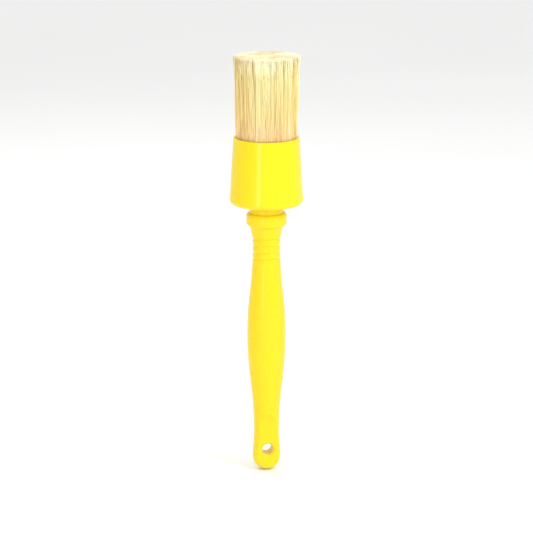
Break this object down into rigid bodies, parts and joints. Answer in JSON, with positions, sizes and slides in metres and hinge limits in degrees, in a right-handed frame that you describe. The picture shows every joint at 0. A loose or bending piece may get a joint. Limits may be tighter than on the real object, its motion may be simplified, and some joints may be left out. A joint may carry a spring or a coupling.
{
  "type": "wheel brush",
  "caption": "Round wheel and detailing brush: dense natural bristles in a tapered moulded ferrule on a turned plastic handle with a collar, a gripped waist and a hanging hole.",
  "frame": {"origin": "centre of the ferrule's flat underside, where the brush rests on a rack", "axes": "+Z along the brush axis towards the bristle tips; +Y along the hanging hole"},
  "size_m": [0.0436, 0.0436, 0.2524],
  "materials": {
    "handle_plastic": "satin",
    "ferrule_plastic": "gloss",
    "plug_plastic": "matte",
    "resin": "gloss",
    "bristle": "matte"
  },
  "bodies": {
    "brush": {"handle": "handle_plastic", "ferrule": "ferrule_plastic", "core_plug": "plug_plastic", "resin_set": "resin", "bristle_base": "bristle", "core_tuft": "bristle"},
    "outer_01": {"outer_tuft_01": "bristle"},
    "inner_01": {"inner_tuft_01": "bristle"},
    "outer_02": {"outer_tuft_02": "bristle"},
    "inner_02": {"inner_tuft_02": "bristle"},
    "outer_03": {"outer_tuft_03": "bristle"},
    "inner_03": {"inner_tuft_03": "bristle"},
    "outer_04": {"outer_tuft_04": "bristle"},
    "inner_04": {"inner_tuft_04": "bristle"},
    "outer_05": {"outer_tuft_05": "bristle"},
    "inner_05": {"inner_tuft_05": "bristle"},
    "outer_06": {"outer_tuft_06": "bristle"},
    "inner_06": {"inner_tuft_06": "bristle"},
    "outer_07": {"outer_tuft_07": "bristle"},
    "inner_07": {"inner_tuft_07": "bristle"},
    "outer_08": {"outer_tuft_08": "bristle"},
    "inner_08": {"inner_tuft_08": "bristle"},
    "outer_09": {"outer_tuft_09": "bristle"},
    "inner_09": {"inner_tuft_09": "bristle"},
    "outer_10": {"outer_tuft_10": "bristle"},
    "inner_10": {"inner_tuft_10": "bristle"},
    "outer_11": {"outer_tuft_11": "bristle"},
    "inner_11": {"inner_tuft_11": "bristle"},
    "outer_12": {"outer_tuft_12": "bristle"},
    "inner_12": {"inner_tuft_12": "bristle"}
  },
  "joints": [
    {"name": "outer_lean_01", "type": "hinge", "parent": "brush", "child": "outer_01", "pos_m": [0.0178, 0, 0.0403], "axis": [0, 1, 0], "range_deg": [0, 25], "stiffness_Nm_per_rad": 0.02},
    {"name": "inner_lean_01", "type": "hinge", "parent": "brush", "child": "inner_01", "pos_m": [0.0118, 0, 0.0403], "axis": [0, 1, 0], "range_deg": [0, 12.5], "stiffness_Nm_per_rad": 0.02},
    {"name": "outer_lean_02", "type": "hinge", "parent": "brush", "child": "outer_02", "pos_m": [0.01542, 0.0089, 0.0403], "axis": [-0.5, 0.866, 0], "range_deg": [0, 25], "stiffness_Nm_per_rad": 0.02},
    {"name": "inner_lean_02", "type": "hinge", "parent": "brush", "child": "inner_02", "pos_m": [0.01022, 0.0059, 0.0403], "axis": [-0.5, 0.866, 0], "range_deg": [0, 12.5], "stiffness_Nm_per_rad": 0.02},
    {"name": "outer_lean_03", "type": "hinge", "parent": "brush", "child": "outer_03", "pos_m": [0.0089, 0.01542, 0.0403], "axis": [-0.866, 0.5, 0], "range_deg": [0, 25], "stiffness_Nm_per_rad": 0.02},
    {"name": "inner_lean_03", "type": "hinge", "parent": "brush", "child": "inner_03", "pos_m": [0.0059, 0.01022, 0.0403], "axis": [-0.866, 0.5, 0], "range_deg": [0, 12.5], "stiffness_Nm_per_rad": 0.02},
    {"name": "outer_lean_04", "type": "hinge", "parent": "brush", "child": "outer_04", "pos_m": [0, 0.0178, 0.0403], "axis": [-1, 0, 0], "range_deg": [0, 25], "stiffness_Nm_per_rad": 0.02},
    {"name": "inner_lean_04", "type": "hinge", "parent": "brush", "child": "inner_04", "pos_m": [0, 0.0118, 0.0403], "axis": [-1, 0, 0], "range_deg": [0, 12.5], "stiffness_Nm_per_rad": 0.02},
    {"name": "outer_lean_05", "type": "hinge", "parent": "brush", "child": "outer_05", "pos_m": [-0.0089, 0.01542, 0.0403], "axis": [-0.866, -0.5, 0], "range_deg": [0, 25], "stiffness_Nm_per_rad": 0.02},
    {"name": "inner_lean_05", "type": "hinge", "parent": "brush", "child": "inner_05", "pos_m": [-0.0059, 0.01022, 0.0403], "axis": [-0.866, -0.5, 0], "range_deg": [0, 12.5], "stiffness_Nm_per_rad": 0.02},
    {"name": "outer_lean_06", "type": "hinge", "parent": "brush", "child": "outer_06", "pos_m": [-0.01542, 0.0089, 0.0403], "axis": [-0.5, -0.866, 0], "range_deg": [0, 25], "stiffness_Nm_per_rad": 0.02},
    {"name": "inner_lean_06", "type": "hinge", "parent": "brush", "child": "inner_06", "pos_m": [-0.01022, 0.0059, 0.0403], "axis": [-0.5, -0.866, 0], "range_deg": [0, 12.5], "stiffness_Nm_per_rad": 0.02},
    {"name": "outer_lean_07", "type": "hinge", "parent": "brush", "child": "outer_07", "pos_m": [-0.0178, 0, 0.0403], "axis": [0, -1, 0], "range_deg": [0, 25], "stiffness_Nm_per_rad": 0.02},
    {"name": "inner_lean_07", "type": "hinge", "parent": "brush", "child": "inner_07", "pos_m": [-0.0118, 0, 0.0403], "axis": [0, -1, 0], "range_deg": [0, 12.5], "stiffness_Nm_per_rad": 0.02},
    {"name": "outer_lean_08", "type": "hinge", "parent": "brush", "child": "outer_08", "pos_m": [-0.01542, -0.0089, 0.0403], "axis": [0.5, -0.866, 0], "range_deg": [0, 25], "stiffness_Nm_per_rad": 0.02},
    {"name": "inner_lean_08", "type": "hinge", "parent": "brush", "child": "inner_08", "pos_m": [-0.01022, -0.0059, 0.0403], "axis": [0.5, -0.866, 0], "range_deg": [0, 12.5], "stiffness_Nm_per_rad": 0.02},
    {"name": "outer_lean_09", "type": "hinge", "parent": "brush", "child": "outer_09", "pos_m": [-0.0089, -0.01542, 0.0403], "axis": [0.866, -0.5, 0], "range_deg": [0, 25], "stiffness_Nm_per_rad": 0.02},
    {"name": "inner_lean_09", "type": "hinge", "parent": "brush", "child": "inner_09", "pos_m": [-0.0059, -0.01022, 0.0403], "axis": [0.866, -0.5, 0], "range_deg": [0, 12.5], "stiffness_Nm_per_rad": 0.02},
    {"name": "outer_lean_10", "type": "hinge", "parent": "brush", "child": "outer_10", "pos_m": [0, -0.0178, 0.0403], "axis": [1, 0, 0], "range_deg": [0, 25], "stiffness_Nm_per_rad": 0.02},
    {"name": "inner_lean_10", "type": "hinge", "parent": "brush", "child": "inner_10", "pos_m": [0, -0.0118, 0.0403], "axis": [1, 0, 0], "range_deg": [0, 12.5], "stiffness_Nm_per_rad": 0.02},
    {"name": "outer_lean_11", "type": "hinge", "parent": "brush", "child": "outer_11", "pos_m": [0.0089, -0.01542, 0.0403], "axis": [0.866, 0.5, 0], "range_deg": [0, 25], "stiffness_Nm_per_rad": 0.02},
    {"name": "inner_lean_11", "type": "hinge", "parent": "brush", "child": "inner_11", "pos_m": [0.0059, -0.01022, 0.0403], "axis": [0.866, 0.5, 0], "range_deg": [0, 12.5], "stiffness_Nm_per_rad": 0.02},
    {"name": "outer_lean_12", "type": "hinge", "parent": "brush", "child": "outer_12", "pos_m": [0.01542, -0.0089, 0.0403], "axis": [0.5, 0.866, 0], "range_deg": [0, 25], "stiffness_Nm_per_rad": 0.02},
    {"name": "inner_lean_12", "type": "hinge", "parent": "brush", "child": "inner_12", "pos_m": [0.01022, -0.0059, 0.0403], "axis": [0.5, 0.866, 0], "range_deg": [0, 12.5], "stiffness_Nm_per_rad": 0.02}
  ],
  "couplings": [
    {"joint": "inner_lean_01", "follows": "outer_lean_01", "ratio": 0.5},
    {"joint": "inner_lean_02", "follows": "outer_lean_02", "ratio": 0.5},
    {"joint": "inner_lean_03", "follows": "outer_lean_03", "ratio": 0.5},
    {"joint": "inner_lean_04", "follows": "outer_lean_04", "ratio": 0.5},
    {"joint": "inner_lean_05", "follows": "outer_lean_05", "ratio": 0.5},
    {"joint": "inner_lean_06", "follows": "outer_lean_06", "ratio": 0.5},
    {"joint": "inner_lean_07", "follows": "outer_lean_07", "ratio": 0.5},
    {"joint": "inner_lean_08", "follows": "outer_lean_08", "ratio": 0.5},
    {"joint": "inner_lean_09", "follows": "outer_lean_09", "ratio": 0.5},
    {"joint": "inner_lean_10", "follows": "outer_lean_10", "ratio": 0.5},
    {"joint": "inner_lean_11", "follows": "outer_lean_11", "ratio": 0.5},
    {"joint": "inner_lean_12", "follows": "outer_lean_12", "ratio": 0.5}
  ]
}
